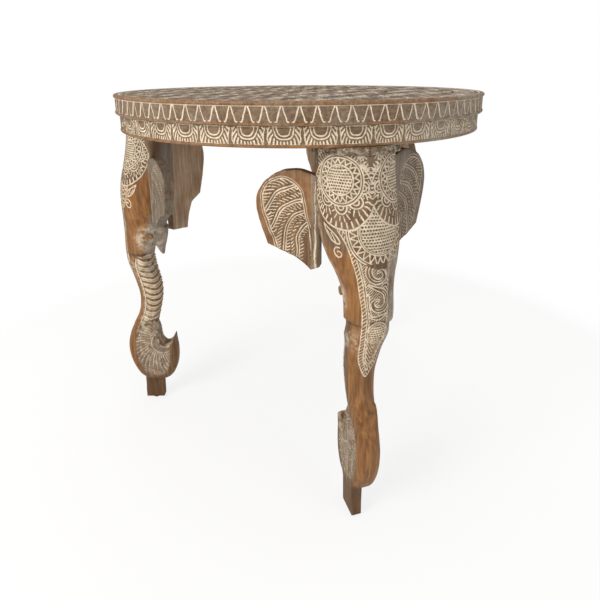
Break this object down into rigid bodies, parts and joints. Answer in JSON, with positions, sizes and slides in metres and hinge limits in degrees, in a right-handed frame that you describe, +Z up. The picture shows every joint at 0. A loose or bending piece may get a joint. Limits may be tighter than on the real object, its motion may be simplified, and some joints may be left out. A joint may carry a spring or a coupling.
{
  "type": "carved stool",
  "caption": "Round carved wooden stool or side table with a two-stepped carved rim, standing on elephant-head legs whose trunks curl inward above small square feet",
  "frame": {"origin": "On the floor, under the middle of the bounding box of the whole stool. The upright axis of the round top passes through x = 8.5 mm, y = -7.8 mm, since the feet stand out unevenly beyond the top", "axes": "+Z up along the axis of the top; +X and +Y lie in the floor. The legs stand at 198, 304.8 and 71 degrees round that axis, counted from +X towards +Y, and the top's planks run along Y"},
  "size_m": [0.525, 0.5236, 0.508],
  "materials": {
    "carved_wood": "satin brown hardwood, cream limewash rubbed into the carving",
    "dowel_wood": "plain end grain",
    "filler": "rough sawdust paste",
    "nail_steel": "dark oxidised"
  },
  "bodies": {
    "root": {"left_leg": "carved_wood", "left_leg_ear_1": "carved_wood", "left_leg_ear_2": "carved_wood", "left_leg_tusk_1": "dowel_wood", "left_leg_tusk_2": "dowel_wood", "left_leg_filler": "filler", "front_leg": "carved_wood", "front_leg_ear_1": "carved_wood", "front_leg_ear_2": "carved_wood", "front_leg_tusk_1": "dowel_wood", "front_leg_tusk_2": "dowel_wood", "front_leg_filler": "filler", "back_leg": "carved_wood", "back_leg_ear_1": "carved_wood", "back_leg_ear_2": "carved_wood", "back_leg_tusk_1": "dowel_wood", "back_leg_tusk_2": "dowel_wood", "back_leg_filler": "filler", "top_plank_1": "carved_wood", "top_plank_2": "carved_wood", "top_plank_3": "carved_wood", "top_plank_4": "carved_wood", "apron_segment_1": "carved_wood", "apron_segment_2": "carved_wood", "apron_segment_3": "carved_wood", "apron_segment_4": "carved_wood", "apron_segment_5": "carved_wood", "apron_segment_6": "carved_wood", "plank_dowels": "dowel_wood", "apron_dowels": "dowel_wood", "leg_dowels": "dowel_wood", "ear_dowels": "dowel_wood", "foot_nails": "nail_steel"}
  },
  "joints": []
}
